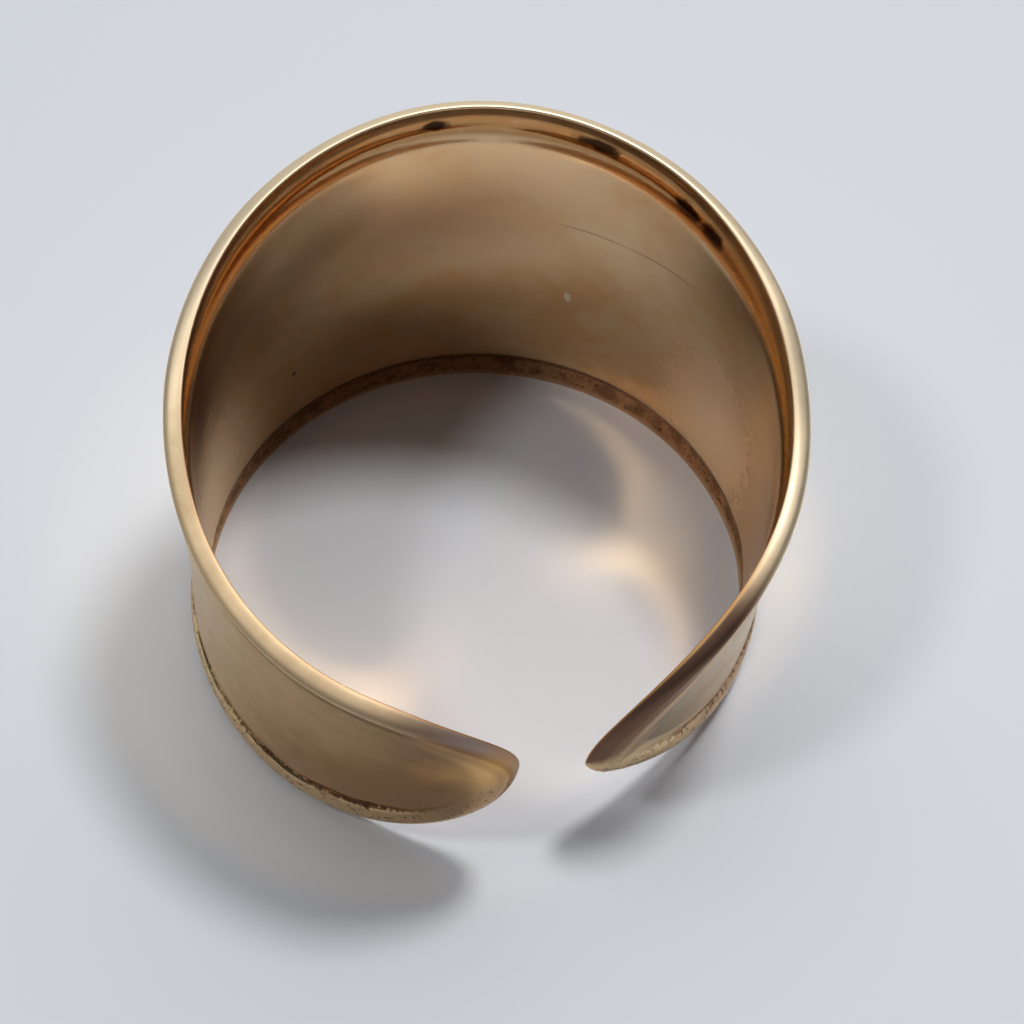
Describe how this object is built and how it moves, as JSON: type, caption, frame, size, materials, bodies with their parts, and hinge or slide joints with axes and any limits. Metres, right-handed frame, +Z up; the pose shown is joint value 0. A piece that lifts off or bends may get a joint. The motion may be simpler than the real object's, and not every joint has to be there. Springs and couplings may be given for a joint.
{
  "type": "open band ring",
  "caption": "Wide open-backed finger ring of brass sheet with a rounded border, tapering to rounded ends with a narrow gap, lying on its side.",
  "frame": {"origin": "middle of the base of the bounding box, in the plane that the lower edge stands on", "axes": "+Z up as the ring lies on its side, +Y towards the wide front, -Y towards the gap, +X to the right seen from the gap"},
  "size_m": [0.0198, 0.0204, 0.0153],
  "materials": {
    "gilt_brass": "worn satin inside, polished on the border, tarnished brown in the recesses and along the lower edge"
  },
  "bodies": {
    "root": {"band": "gilt_brass"}
  },
  "joints": []
}
